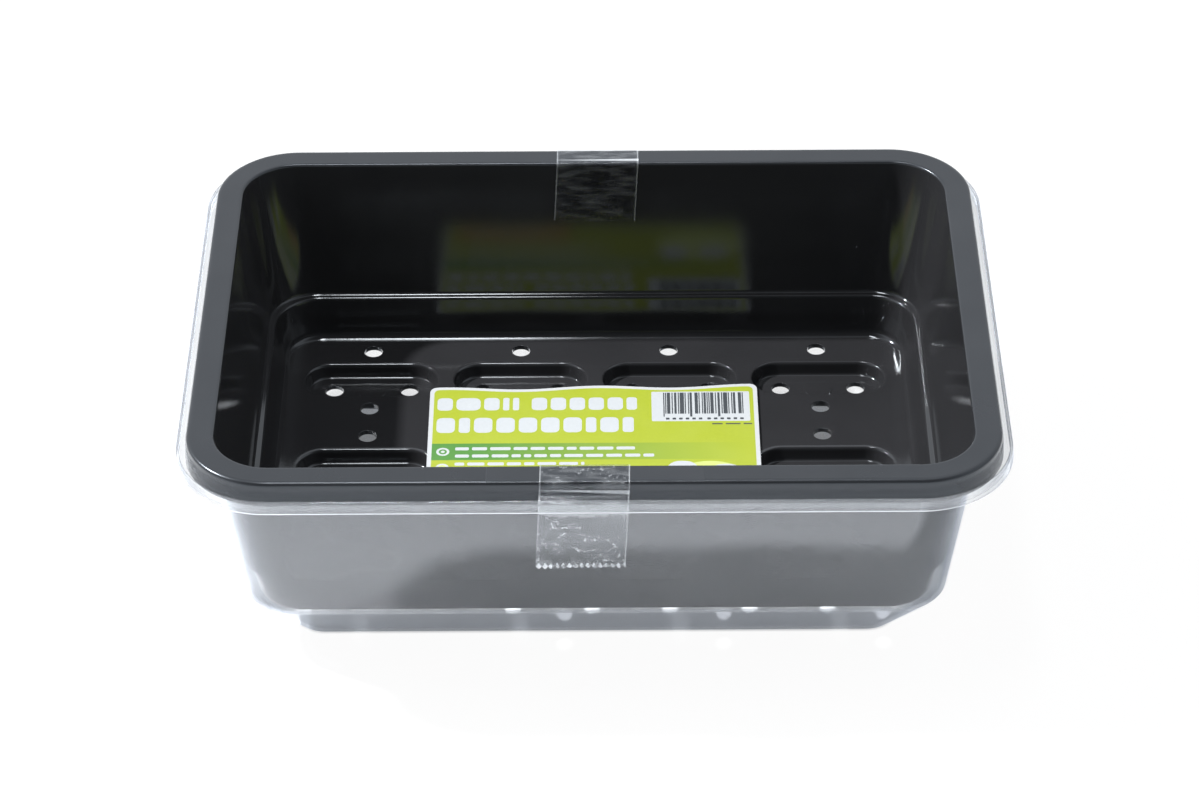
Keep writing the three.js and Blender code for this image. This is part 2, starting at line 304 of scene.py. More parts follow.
def is_inside(x, y, outline):
    """True if the point lies inside the outline."""
    inside = False
    for first, second in zip(outline, outline[1:] + outline[:1]):
        if (first[1] > y) != (second[1] > y):
            crossing = first[0] + (y - first[1]) * (second[0] - first[0]) / (second[1] - first[1])
            if x < crossing:
                inside = not inside
    return inside


def spans(outline):
    """Lowest and highest x and y of an outline."""
    xs = [point[0] for point in outline]
    ys = [point[1] for point in outline]
    return min(xs), max(xs), min(ys), max(ys)


def flat_region(mesh, outline, holes, shapes=()):
    """Fills a flat outline round its holes. A triangle takes the index of the last shape it lies in."""
    height = outline[0][2]
    points = []
    edges = []
    for loop in [outline, *holes, *(shape for shape, _ in shapes)]:
        first = len(points)
        points += [Vector(point[:2]) for point in loop]
        edges += [(first + i, first + (i + 1) % len(loop)) for i in range(len(loop))]
    faces = [list(range(len(outline)))]
    spots, _, triangles, *_ = delaunay_2d_cdt(points, edges, faces, 1, 1e-7)
    verts = [mesh.verts.new((spot[0] * MM, spot[1] * MM, height * MM)) for spot in spots]
    hole_spans = [(spans(hole), hole) for hole in holes]
    shape_spans = [(spans(shape), shape, index) for shape, index in shapes]
    for triangle in triangles:
        x = sum(spots[i][0] for i in triangle) / 3
        y = sum(spots[i][1] for i in triangle) / 3
        if any(s[0] < x < s[1] and s[2] < y < s[3] and is_inside(x, y, hole) for s, hole in hole_spans):
            continue
        face = mesh.faces.new([verts[i] for i in triangle])
        for s, shape, index in shape_spans:
            if s[0] < x < s[1] and s[2] < y < s[3] and is_inside(x, y, shape):
                face.material_index = index


def finished(mesh, name, materials, sharp_angle=35.0):
    """Turns a bmesh into one closed, shaded object."""
    bmesh.ops.remove_doubles(mesh, verts=mesh.verts, dist=1e-6)
    bmesh.ops.recalc_face_normals(mesh, faces=mesh.faces)
    for edge in mesh.edges:
        if len(edge.link_faces) == 2 and edge.calc_face_angle() > math.radians(sharp_angle):
            edge.smooth = False
    data = bpy.data.meshes.new(name)
    mesh.to_mesh(data)
    mesh.free()
    for material in materials:
        data.materials.append(material)
    obj = bpy.data.objects.new(name, data)
    bpy.context.scene.collection.objects.link(obj)
    return obj


# ---------------------------------------------------------------------------
# Material helpers
# ---------------------------------------------------------------------------


class Shading:
    """A node material under construction."""

    def __init__(self, name):
        self.material = bpy.data.materials.new(name)
        self.material.use_nodes = True
        self.nodes = self.material.node_tree.nodes
        self.links = self.material.node_tree.links
        self.nodes.clear()
        self.output = self.nodes.new("ShaderNodeOutputMaterial")

    def link(self, source, target):
        self.links.new(source, target)

    def node(self, kind, **inputs):
        """A new node. Inputs are set by name, or linked if they are sockets."""
        node = self.nodes.new(kind)
        for name, value in inputs.items():
            socket = node.inputs[name.replace("_", " ")]
            if isinstance(value, bpy.types.NodeSocket):
                self.link(value, socket)
            else:
                socket.default_value = value
        return node

    def coordinates(self, kind="Object"):
        return self.node("ShaderNodeTexCoord").outputs[kind]

    def noise(self, vector, scale, detail=3.0, roughness=0.5):
        settings = {"Scale": scale, "Detail": detail, "Roughness": roughness}
        return self.node("ShaderNodeTexNoise", Vector=vector, **settings).outputs["Fac"]

    def stretched(self, vector, scale):
        node = self.node("ShaderNodeMapping", Vector=vector)
        node.inputs["Scale"].default_value = scale
        return node.outputs["Vector"]

    def spread(self, value, low, high, to_low, to_high):
        """Maps low..high onto to_low..to_high and stops at the ends."""
        node = self.node("ShaderNodeMapRange")
        self.link(value, node.inputs["Value"])
        for name, number in (("From Min", low), ("From Max", high), ("To Min", to_low), ("To Max", to_high)):
            node.inputs[name].default_value = number
        return node.outputs["Result"]

    def math(self, operation, first, second=0.0):
        node = self.nodes.new("ShaderNodeMath")
        node.operation = operation
        for socket, value in zip(node.inputs, (first, second)):
            if isinstance(value, bpy.types.NodeSocket):
                self.link(value, socket)
            else:
                socket.default_value = value
        return node.outputs[0]

    def band(self, value, low, high, soft):
        """1 where value lies between low and high, with soft edges."""
        rising = self.spread(value, low - soft, low + soft, 0.0, 1.0)
        falling = self.spread(value, high - soft, high + soft, 1.0, 0.0)
        return self.math("MULTIPLY", rising, falling)

    def distance_from(self, split, reach_x, reach_y):
        """Distance from a rectangle round the middle, so that a rounded outline lies at one value."""
        gaps = []
        for axis, reach in (("X", reach_x), ("Y", reach_y)):
            beyond = self.math("SUBTRACT", self.math("ABSOLUTE", split.outputs[axis]), reach)
            gap = self.math("MAXIMUM", beyond, 0.0)
            gaps.append(self.math("MULTIPLY", gap, gap))
        return self.math("SQRT", self.math("ADD", *gaps))

    def ramp(self, value, low_colour, high_colour):
        node = self.node("ShaderNodeValToRGB", Fac=value)
        node.color_ramp.elements[0].color = (*low_colour, 1)
        node.color_ramp.elements[1].color = (*high_colour, 1)
        return node.outputs["Color"]

    def bump(self, height, distance, strength=1.0, normal=None):
        node = self.node("ShaderNodeBump", Height=height, Distance=distance, Strength=strength)
        if normal:
            self.link(normal, node.inputs["Normal"])
        return node.outputs["Normal"]

    def finish(self, shader):
        self.link(shader.outputs[0], self.output.inputs["Surface"])
        return self.material


def black_plastic():
    """Injection-moulded black plastic: slow waves in the wall and a fine uneven gloss."""
    roughness = 0.05
    slow_wave = 0.00012
    fine_grain = 0.000012
    s = Shading("black_plastic_gloss")
    place = s.coordinates()
    cloud = s.noise(place, 38.0, 4.0)
    grain = s.noise(place, 2600.0, 2.0)
    tone = s.ramp(cloud, tuple(c * 0.8 for c in GLOSS_BLACK), tuple(c * 1.25 for c in GLOSS_BLACK))
    gloss = s.spread(cloud, 0.3, 0.7, roughness * 0.85, roughness * 1.2)
    slow = s.bump(s.noise(place, 24.0, 1.0), slow_wave, 1.0)
    fine = s.bump(grain, fine_grain, 1.0, slow)
    shader = s.node("ShaderNodeBsdfPrincipled", Base_Color=tone, Roughness=gloss, Normal=fine)
    shader.inputs["IOR"].default_value = 1.46
    shader.inputs["Specular Tint"].default_value = COOL_TINT
    return s.finish(shader)


def flange_plastic():
    """The rim's satin finish, with the smoother blank pad in the middle of the front."""
    edge = 0.0001
    pad_height = 0.00006
    grain_height = 0.00002
    s = Shading("black_plastic_satin")
    place = s.coordinates()
    split = s.node("ShaderNodeSeparateXYZ", Vector=place)
    across = s.band(split.outputs["X"], *PAD_X, edge)
    front = s.band(split.outputs["Y"], *PAD_Y, edge)
    top = s.spread(split.outputs["Z"], 0.0747, 0.0749, 0.0, 1.0)
    pad = s.math("MULTIPLY", s.math("MULTIPLY", across, front), top)
    cloud = s.noise(place, 60.0, 4.0)
    streak = s.noise(s.stretched(place, (40.0, 40.0, 900.0)), 1.0, 2.0)
    rough = s.spread(cloud, 0.3, 0.7, 0.2, 0.28)
    rough = s.math("ADD", rough, s.math("MULTIPLY", pad, 0.16))
    tone = s.ramp(streak, *SATIN_BLACK)
    fine = s.bump(s.noise(place, 2400.0, 2.0), grain_height)
    stepped = s.bump(pad, pad_height, 1.0, fine)
    shader = s.node("ShaderNodeBsdfPrincipled", Base_Color=tone, Roughness=rough, Normal=stepped)
    shader.inputs["IOR"].default_value = 1.42
    shader.inputs["Specular Tint"].default_value = COOLER_TINT
    return s.finish(shader)


def clear_film(s, gloss, head_on, dimming, haze_and_highlights, milk_colour, normal, painted_edge_shade=None):
    """Ends a see-through skin: clear where it faces the eye, glossy at a glance, milky by its haze and
    painted highlights.
    head_on is its mirror share seen square on, and dimming its tint at a glance, less any painted edge
    shade.
    The gloss comes from the facing angle, so that both faces of the thin wall reflect alike."""
    facing = s.node("ShaderNodeLayerWeight", Blend=0.5, Normal=normal).outputs["Facing"]
    mirror_rise = s.math("MULTIPLY", s.math("POWER", facing, 5.0), 1.0 - head_on)
    mirror_share = s.math("ADD", mirror_rise, head_on)
    glance = s.spread(facing, 0.3, 0.8, 0.0, 1.0)
    tint = s.ramp(glance, CLEAR_TINT, dimming)
    # Painted edge shade: the see-through tint darkens further at a glance.
    if painted_edge_shade:
        darker = s.node("ShaderNodeVectorMath")
        darker.operation = "SCALE"
        s.link(tint, darker.inputs[0])
        s.link(s.math("SUBTRACT", 1.0, s.math("MULTIPLY", painted_edge_shade, glance)), darker.inputs["Scale"])
        tint = darker.outputs["Vector"]
    clear = s.node("ShaderNodeBsdfTransparent", Color=tint)
    milk = s.node("ShaderNodeBsdfDiffuse", Color=(*milk_colour, 1))
    mirror = s.node("ShaderNodeBsdfGlossy", Color=COOL_MIRROR, Roughness=gloss, Normal=normal)
    hazy = s.node("ShaderNodeMixShader", Fac=haze_and_highlights)
    s.link(clear.outputs[0], hazy.inputs[1])
    s.link(milk.outputs[0], hazy.inputs[2])
    skin = s.node("ShaderNodeMixShader", Fac=mirror_share)
    s.link(hazy.outputs[0], skin.inputs[1])
    s.link(mirror.outputs[0], skin.inputs[2])
    return s.finish(skin)


def clear_plastic():
    """Vacuum-formed clear sheet: faint haze, slow ripples, fine scuffs, milkier bands at its bends, painted
    highlight lines at the shoulder and the lip's foot, and painted shade on the lip and chamfer seen at a
    glance.
    """
    s = Shading("clear_plastic")
    place = s.coordinates()
    split = s.node("ShaderNodeSeparateXYZ", Vector=place)
    height = split.outputs["Z"]
    corner_x = (LENGTH / 2 - EDGE_CORNER) * MM
    corner_y = (WIDTH / 2 - EDGE_CORNER) * MM
    outset = s.distance_from(split, corner_x, corner_y)
    ripple = s.bump(s.noise(place, 30.0, 2.0), 0.0001)
    cloud = s.noise(place, 14.0, 3.0)
    scuff = s.noise(s.stretched(place, (120.0, 120.0, 1500.0)), 1.0, 3.0)
    haze_and_highlights = s.math("ADD", s.spread(cloud, 0.3, 0.7, 0.002, 0.014), s.spread(scuff, 0.6, 0.74, 0.0, 0.025))
    # Milkier towards the bottom of the wall, which lightens it there.
    haze_and_highlights = s.math("ADD", haze_and_highlights, s.spread(height, 0.020, 0.062, 0.03, 0.0))

    # Milkier bands at the bends; the shoulder's strong band is a painted highlight line.
    ledge_and_lip = (0.0655, 0.0720, 0.0004)
    shoulder_highlight_band = (0.0172, 0.0188, 0.0004)
    chamfer = (0.0012, 0.0172, 0.0006)
    roof = (-0.0010, 0.0012, 0.0006)
    for zone, amount in ((ledge_and_lip, 0.035), (shoulder_highlight_band, 0.14), (chamfer, 0.05), (roof, 0.10)):
        haze_and_highlights = s.math("ADD", haze_and_highlights, s.math("MULTIPLY", s.band(height, *zone), amount))
    # A painted highlight line along the foot of the lip.
    foot_height = s.band(height, 0.0661, 0.0669, 0.0001)
    lip_foot_highlight = s.math("MULTIPLY", foot_height, s.band(outset, 0.0266, 0.0280, 0.0002))
    haze_and_highlights = s.math("ADD", haze_and_highlights, s.math("MULTIPLY", lip_foot_highlight, 0.6))

    # Painted shade: the lip, its top and the chamfer darken where they are seen at a glance.
    lip = s.math("MULTIPLY", s.band(outset, 0.0245, 0.0280, 0.0004), s.band(height, 0.0655, 0.0720, 0.0002))
    slope = s.band(height, 0.0008, 0.0176, 0.0008)
    lip_top = s.band(height, 0.0701, 0.0712, 0.0001)
    painted_edge_shade = s.math("ADD", s.math("MULTIPLY", lip, 0.2), s.math("MULTIPLY", lip_top, 0.4))
    painted_edge_shade = s.math("ADD", painted_edge_shade, s.math("MULTIPLY", slope, 0.12))
    return clear_film(s, 0.035, 0.027, (0.62, 0.64, 0.66), haze_and_highlights, (0.9, 0.92, 0.95), ripple, painted_edge_shade)


def trapped_air(s, place, along, bridge_end, air):
    """Small pale bubbles in loose patches, more of them on the tail than over the rim."""
    bubbles = s.spread(s.noise(place, 0.85, 2.0, 0.6), 0.575, 0.64, 0.0, air)
    patches = s.spread(s.noise(place, 0.2, 1.0), 0.45, 0.56, 0.0, 1.0)
    share = s.spread(along, bridge_end - 1.0, bridge_end + 4.0, 0.25, 1.0)
    return s.math("MULTIPLY", bubbles, s.math("MULTIPLY", patches, share))


def cut_end(s, place, across, along, wavy, end, frost_side):
    """The frosty teeth where the tape was torn off, and a pale blotch in one corner."""
    beyond = end + 9.0
    teeth_wave = s.math("MULTIPLY", s.math("PINGPONG", across, SERRATION / 2), 1.8)
    broken = s.spread(s.noise(place, 0.5, 2.0), 0.40, 0.52, 0.12, 0.36)
    teeth = s.math("MULTIPLY", s.band(s.math("ADD", along, teeth_wave), end - 0.1, beyond, 0.1), broken)
    blotch = s.spread(s.noise(place, 1.1, 2.0), 0.42, 0.56, 0.2, 0.8)
    near_corner = s.math("MULTIPLY", s.band(across, *frost_side, 0.3), s.band(wavy, end - 2.6, beyond, 0.5))
    corner = s.math("MULTIPLY", s.math("MULTIPLY", near_corner, blotch), 0.12)
    return s.math("ADD", teeth, corner)


def tape_film(name, end, crease, crease_rise, crease_haze_and_highlight, frost_side, air):
    """Clear sticky tape: trapped air, a frosty cut end, and a milky stretch where it spans a gap.
    The UV map holds millimetres across (U) and along (V) the tape."""
    bridge = (34.6, 38.9)
    bridge_haze = 0.12
    half_width = TAPE_WIDTH / 2
    s = Shading(name)
    place = s.coordinates("UV")
    split = s.node("ShaderNodeSeparateXYZ", Vector=place)
    across = split.outputs["X"]
    along = split.outputs["Y"]
    smear = s.spread(s.noise(s.stretched(place, (0.12, 0.5, 1.0)), 1.0, 2.0), 0.45, 0.7, 0.0, 0.035)
    haze_and_highlights = s.math("ADD", trapped_air(s, place, along, bridge[1], air), smear)
    wavy = s.math("ADD", along, s.spread(s.noise(place, 0.25, 2.0), 0.3, 0.7, -1.0, 1.0))
    haze_and_highlights = s.math("ADD", haze_and_highlights, s.math("MULTIPLY", s.band(wavy, *bridge, 0.4), bridge_haze))
    haze_and_highlights = s.math("ADD", haze_and_highlights, cut_end(s, place, across, along, wavy, end, frost_side))
    from_middle = s.math("ABSOLUTE", s.math("SUBTRACT", across, half_width))
    from_edge = s.math("SUBTRACT", half_width, from_middle)
    haze_and_highlights = s.math("ADD", haze_and_highlights, s.spread(from_edge, 0.0, 0.5, 0.14, 0.0))
    # A pale line along the crease, partly air under the fold and partly a painted highlight.
    slope = s.math("SUBTRACT", along, s.math("MULTIPLY", across, crease_rise))
    off_line = s.math("ABSOLUTE", s.math("SUBTRACT", slope, crease))
    line = s.spread(s.math("SUBTRACT", off_line, s.math("MULTIPLY", across, 0.024)), -0.15, 0.15, 1.0, 0.0)
    haze_and_highlights = s.math("MINIMUM", s.math("ADD", haze_and_highlights, s.math("MULTIPLY", line, crease_haze_and_highlight)), 0.85)
    pucker = s.bump(s.noise(place, 0.3, 2.0), 0.0001)
    return clear_film(s, 0.12, 0.006, (0.9, 0.9, 0.9), haze_and_highlights, (0.74, 0.77, 0.8), pucker)


def printed_card(name, colour, fade_to=None):
    """Coated card printed in one ink, which may fade to another along the card."""
    s = Shading(name)
    place = s.coordinates()
    fibre = s.noise(place, 900.0, 3.0)
    tone = s.ramp(fibre, tuple(c * 0.94 for c in colour), tuple(c * 1.05 for c in colour))
    if fade_to:
        x = s.node("ShaderNodeSeparateXYZ", Vector=place).outputs["X"]
        mix = s.node("ShaderNodeMix")
        mix.data_type = "RGBA"
        s.link(s.spread(x, *BAND_FADE, 0.0, 1.0), mix.inputs["Factor"])
        s.link(tone, mix.inputs["A"])
        mix.inputs["B"].default_value = (*fade_to, 1)
        tone = mix.outputs["Result"]
    rough = s.spread(s.noise(place, 120.0, 2.0), 0.3, 0.7, 0.34, 0.46)
    grain = s.bump(fibre, 0.00001)
    shader = s.node("ShaderNodeBsdfPrincipled", Base_Color=tone, Roughness=rough, Normal=grain)
    shader.inputs["IOR"].default_value = 1.5
    return s.finish(shader)


def studio_floor_material():
    """Pale matt sheet, lit from below like a light table except under the object's roof."""
    roof_x = (LENGTH / 2 - ROOF_INSET - ROOF_CORNER) * MM
    roof_y = (WIDTH / 2 - ROOF_INSET - ROOF_CORNER) * MM
    glow_share = 0.95
    s = Shading("studio_floor")
    place = s.coordinates()
    tone = s.ramp(s.noise(place, 2.0), (0.9, 0.9, 0.9), (0.93, 0.93, 0.93))
    sheet = s.node("ShaderNodeBsdfPrincipled", Base_Color=tone, Roughness=0.8)
    sheet.inputs["Emission Color"].default_value = (1, 1, 1, 1)
    sheet.inputs["Emission Strength"].default_value = 0.2
    glow = s.node("ShaderNodeEmission", Strength=0.99)
    split = s.node("ShaderNodeSeparateXYZ", Vector=place)
    under = s.spread(s.distance_from(split, roof_x, roof_y), 0.0080, 0.0096, 1.0, 0.0)
    open_floor = s.math("SUBTRACT", 1.0, under)
    seen = s.node("ShaderNodeLightPath").outputs["Is Camera Ray"]
    share = s.math("MULTIPLY", s.math("MULTIPLY", open_floor, seen), glow_share)
    mix = s.node("ShaderNodeMixShader", Fac=share)
    s.link(sheet.outputs[0], mix.inputs[1])
    s.link(glow.outputs[0], mix.inputs[2])
    return s.finish(mix)


# ---------------------------------------------------------------------------
# Base tray
# ---------------------------------------------------------------------------


def recess_centres():
    return [(x, y) for x in RECESS_COLUMNS for y in RECESS_ROWS]


def recess_holes(centre):
    return [(centre[0] + side * HOLE_IN_RECESS_X, centre[1]) for side in (-1, 1)]


def floor_holes():
    return [(x, y + side * HOLE_BESIDE_RECESS_Y) for x, y in recess_centres() for side in (-1, 1)]


def drain_hole(mesh, centre, top, bottom):
    """The wall of one drain hole, with a small rounded lip at the top."""
    profile = [(HOLE_LIP, 0.0, top, 0.0), (0.0, 0.0, top, HOLE_LIP), (0.0, 0.0, bottom, 0.0)]
    loft(mesh, [circle(centre, HOLE_RADIUS + growth, z) for growth, _, z in softened(profile)])


def recess(mesh, centre):
    """One drainage recess: its wall, floor, ejector mark and holes, and the boss underneath."""
    wall = [recess_ring(centre, growth, z) for growth, _, z in softened(RECESS_PROFILE)]
    boss = [recess_ring(centre, growth, z) for growth, _, z in softened(BOSS_PROFILE)]
    loft(mesh, wall)
    loft(mesh, boss)
    holes = recess_holes(centre)
    mark_foot = circle(centre, EJECTOR_RADIUS, RECESS_Z)
    mark_top = circle(centre, EJECTOR_RADIUS - EJECTOR_HEIGHT, RECESS_Z + EJECTOR_HEIGHT)
    rims = [circle(hole, HOLE_RADIUS + HOLE_LIP, RECESS_Z) for hole in holes]
    feet = [circle(hole, HOLE_RADIUS, RECESS_UNDERSIDE_Z) for hole in holes]
    flat_region(mesh, wall[-1], [*rims, mark_foot])
    loft(mesh, [mark_foot, mark_top])
    flat_region(mesh, mark_top, [])
    flat_region(mesh, boss[-1], feet)
    for hole in holes:
        drain_hole(mesh, hole, RECESS_Z, RECESS_UNDERSIDE_Z)
    return wall[0], boss[0]


def rim_or_wall(ring):
    """Material index: 1 for the satin flange and skirt, 0 for the glossy walls."""
    slack = 0.01
    inset = LENGTH / 2 - max(point[0] for point in ring)
    return 1 if inset < MOUTH_INSET + slack and ring[0][2] > SKIRT_FOOT_Z - slack else 0


def base_tray(materials):
    """The black tray as one closed shell with drain recesses and holes."""
    mesh = bmesh.new()
    rings = [tray_ring(*station) for station in softened(TRAY_PROFILE)]
    loft(mesh, rings, rim_or_wall)
    mouths = []
    bosses = []
    for centre in recess_centres():
        mouth, boss = recess(mesh, centre)
        mouths.append(mouth)
        bosses.append(boss)
    holes = floor_holes()
    rims = [circle(hole, HOLE_RADIUS + HOLE_LIP, FLOOR_Z) for hole in holes]
    feet = [circle(hole, HOLE_RADIUS, UNDERSIDE_Z) for hole in holes]
    flat_region(mesh, rings[-1], mouths + rims)
    flat_region(mesh, rings[0], bosses + feet)
    for hole in holes:
        drain_hole(mesh, hole, FLOOR_Z, UNDERSIDE_Z)
    return finished(mesh, "base_tray_shell", materials)


# ---------------------------------------------------------------------------
# Clear cover
# ---------------------------------------------------------------------------


def clear_cover(material):
    """The clear cover, upside down: flat roof on the floor, chamfer, wall, ledge and lip."""
    mesh = bmesh.new()
    rings = [tray_ring(*station) for station in softened(COVER_PROFILE)]
    loft(mesh, rings)
    flat_region(mesh, rings[0], [])
    flat_region(mesh, rings[-1], [])
    return finished(mesh, "clear_cover_shell", [material])


# ---------------------------------------------------------------------------
# Label card. The names in capitals are the card's material indices; 0 is its white edge.
# ---------------------------------------------------------------------------
WHITE, BAND, LEAF, INK, WARM, FIELD = range(1, 7)


def rounded_box(left, right, front, back, radius, steps=5):
    """A rounded rectangle on the label's top face."""
    corners = ((right, back, 0), (left, back, 1), (left, front, 2), (right, front, 3))
    points = []
    for x, y, quarter in corners:
        centre_x = x - radius if x == right else x + radius
        centre_y = y - radius if y == back else y + radius
        points += arc(centre_x, centre_y, radius, quarter, quarter + 1, steps, LABEL_TOP_Z)
    return points


def card_back_edge(x, margin):
    """Height of the card's waved back edge at x, seen from above."""
    wave = LABEL_WAVE * math.cos(2 * math.pi * (x - LABEL_WAVE_CREST) / LABEL_WAVE_PITCH)
    return LABEL_BACK - margin + wave + LABEL_SKEW * x


def card_outline(margin, height):
    """The card's edge: rounded corners and a gently waved back edge."""
    waves = 40
    turn_steps = 6
    radius = LABEL_CORNER - margin / 2
    left = LABEL_LEFT + margin + radius
    right = LABEL_RIGHT - margin - radius
    front = LABEL_FRONT + margin + radius
    points = arc(left, front, radius, 2, 3, turn_steps, height)
    points += arc(right, front, radius, 3, 4, turn_steps, height)
    points += arc(right, card_back_edge(right, margin) - radius, radius, 0, 1, turn_steps, height)
    for step in range(1, waves):
        x = right + (left - right) * step / waves
        points.append((x, card_back_edge(x, margin), height))
    points += arc(left, card_back_edge(left, margin) - radius, radius, 1, 2, turn_steps, height)
    return points


def word_blocks(left, baseline, height, widths, gap, ink):
    """A row of rounded blocks that stands in for a line of print. A width of 0 is a space."""
    shapes = []
    x = left
    for width in widths:
        if width:
            radius = min(width, height) * 0.3
            shapes.append((rounded_box(x, x + width, baseline, baseline + height, radius, 3), ink))
            x += width + gap
        else:
            x += gap * 2.5
    return shapes


def small_print(left, right, baseline, height, ink, seed):
    """A line of small print as short dashes."""
    pick = random.Random(seed)
    gap = 0.9
    widths = []
    x = left
    while x < right:
        width = pick.uniform(2.2, 6.5)
        widths.append(min(width, right - x + 0.8))
        x += width + gap
    return word_blocks(left, baseline, height, widths, gap, ink)


def title_blocks():
    """Two lines of large blocks in place of the title."""
    left = -48.2
    first = [4.7, 7.4, 4.7, 1.9, 1.9, 0, 4.7, 4.7, 4.7, 4.7, 4.7, 3.2]
    second = [5.6, 3.4, 5.6, 5.6, 5.6, 5.6, 5.6, 3.2, 5.6, 3.4]
    return word_blocks(left, 26.6, 6.4, first, 1.1, WHITE) + word_blocks(left, 15.2, 7.6, second, 1.2, WHITE)


def bar_panel():
    """A white panel with plain bars, a row of ticks below them and a line of small print."""
    pattern = (0.35, 0.35, 1.0, 0.35, 0.7, 0.35, 1.3, 0.35, 0.35, 0.7, 1.0, 0.35, 0.35, 0.7)
    bars_right = 45.7
    shapes = [(rounded_box(17.3, 47.3, 20.6, 35.8, 0.4, 2), WHITE)]
    x = 20.9
    bar = 0
    while x < bars_right:
        width = pattern[bar % len(pattern)]
        foot = 22.9 if bar % 9 == 0 else 24.4
        shapes.append((rounded_box(x, x + width, foot, 35.3, 0.05, 1), INK))
        x += width + pattern[(bar * 5 + 3) % len(pattern)] * 0.62
        bar += 1
    for tick in range(12):
        left = 21.6 + tick * 2.0 + (0.6 if tick > 5 else 0.0)
        shapes.append((rounded_box(left, left + 1.1, 21.4, 22.4, 0.2, 2), INK))
    return shapes + small_print(35.6, 47.0, 18.9, 0.6, INK, 3)


def feature_lines():
    """The darker band and the lines of small print, each group with a ring beside it."""
    text_left = -42.2
    band = rounded_box(LABEL_LEFT + LABEL_BORDER, LABEL_RIGHT - LABEL_BORDER, 1.5, 9.8, 0.05, 1)
    shapes = [(band, BAND)]
    for seed, (baseline, right) in enumerate(((6.4, 12.5), (2.8, 17.0))):
        shapes += small_print(text_left, right, baseline, 1.5, WHITE, 11 + seed)
    for seed, baseline in enumerate((-1.2, -4.4, -9.6, -12.8)):
        shapes += small_print(text_left, -4.0 + 9.0 * (seed % 2), baseline, 1.5, WHITE, 21 + seed)
    for centre_y, middle in ((5.7, BAND), (-2.2, LEAF), (-10.6, LEAF)):
        for radius, steps, ink in ((2.0, 20, WHITE), (1.25, 16, middle), (0.6, 12, WHITE)):
            shapes.append((circle((-45.9, centre_y), radius, LABEL_TOP_Z, steps), ink))
    return shapes


def picture_shapes():
    """Plain round shapes and a warm panel in place of the pictures on the front half."""
    return [
        (circle((34.6, -13.5), 14.0, LABEL_TOP_Z, 48), LEAF),
        (rounded_box(21.5, 31.0, -12.0, 0.6, 4.2, 6), WHITE),
        (rounded_box(34.0, 44.5, -12.5, -1.0, 4.6, 6), WHITE),
        (rounded_box(-46.0, -8.0, -31.0, -18.5, 1.0, 3), WARM),
        *small_print(-43.5, -12.0, -23.0, 1.6, WHITE, 31),
        *small_print(-43.5, -18.0, -27.5, 1.6, WHITE, 32),
    ]


def label_card():
    """The printed card that lies on the tray's floor."""
    mesh = bmesh.new()
    materials = [
        printed_card("card_white_edge", WHITE_EDGE),
        printed_card("card_white_ink", WHITE_INK),
        printed_card("card_green_band", BAND_GREEN, LIME),
        printed_card("card_pale_green", PALE_GREEN),
        printed_card("card_dark_ink", DARK_INK),
        printed_card("card_warm_ink", WARM_INK),
        printed_card("card_lime", LIME),
    ]
    top = card_outline(0.0, LABEL_TOP_Z)
    bottom = card_outline(0.0, LABEL_TOP_Z - LABEL_THICKNESS)
    field = (card_outline(LABEL_BORDER, LABEL_TOP_Z), FIELD)
    print_shapes = title_blocks() + bar_panel() + feature_lines() + picture_shapes()
    flat_region(mesh, top, [], [field, *print_shapes])
    flat_region(mesh, bottom, [])
    loft(mesh, [bottom, top])
    return finished(mesh, "printed_label_card", materials)


# ---------------------------------------------------------------------------
# Tape strips
# ---------------------------------------------------------------------------


def smooth_path(points, step):
    """A path of (reach from the middle, height) points, sampled evenly with its corners rounded."""
    profile = [(x, 0.0, z, radius) for x, z, radius in points]
    corners = [Vector((x, z)) for x, _, z in softened(profile)]
    samples = [corners[0]]
    for first, second in zip(corners, corners[1:]):
        pieces = max(1, round((second - first).length / step))
        samples += [first.lerp(second, piece / pieces) for piece in range(1, pieces + 1)]
    return samples


def path_lengths(path):
    """Distance along the path at each of its points."""
    lengths = [0.0]
    for first, second in zip(path, path[1:]):
        lengths.append(lengths[-1] + (second - first).length)
    return lengths


def tape_grid(mesh, side, path, centre_of, offset, drift):
    """One face of the tape as rows of (vertex, mm across, mm along), toothed at both ends."""
    columns = len(drift) - 1
    grid = []
    for row, (point, length) in enumerate(zip(path, path_lengths(path))):
        before = path[max(row - 1, 0)]
        after = path[min(row + 1, len(path) - 1)]
        along = (after - before).normalized()
        outwards = Vector((-along.y, along.x))
        line = []
        for column in range(columns + 1):
            across = TAPE_WIDTH * column / columns
            spot = point + outwards * offset
            if row in (0, len(path) - 1):
                tooth = TOOTH_HEIGHT * (1 if column % 2 else -1) + drift[column]
                spot = spot + along * (tooth if row else -tooth)
            x = centre_of(length) + across - TAPE_WIDTH / 2
            vert = mesh.verts.new(Vector((x, side * spot.x, spot.y)) * MM)
            line.append((vert, across, length))
        grid.append(line)
    return grid


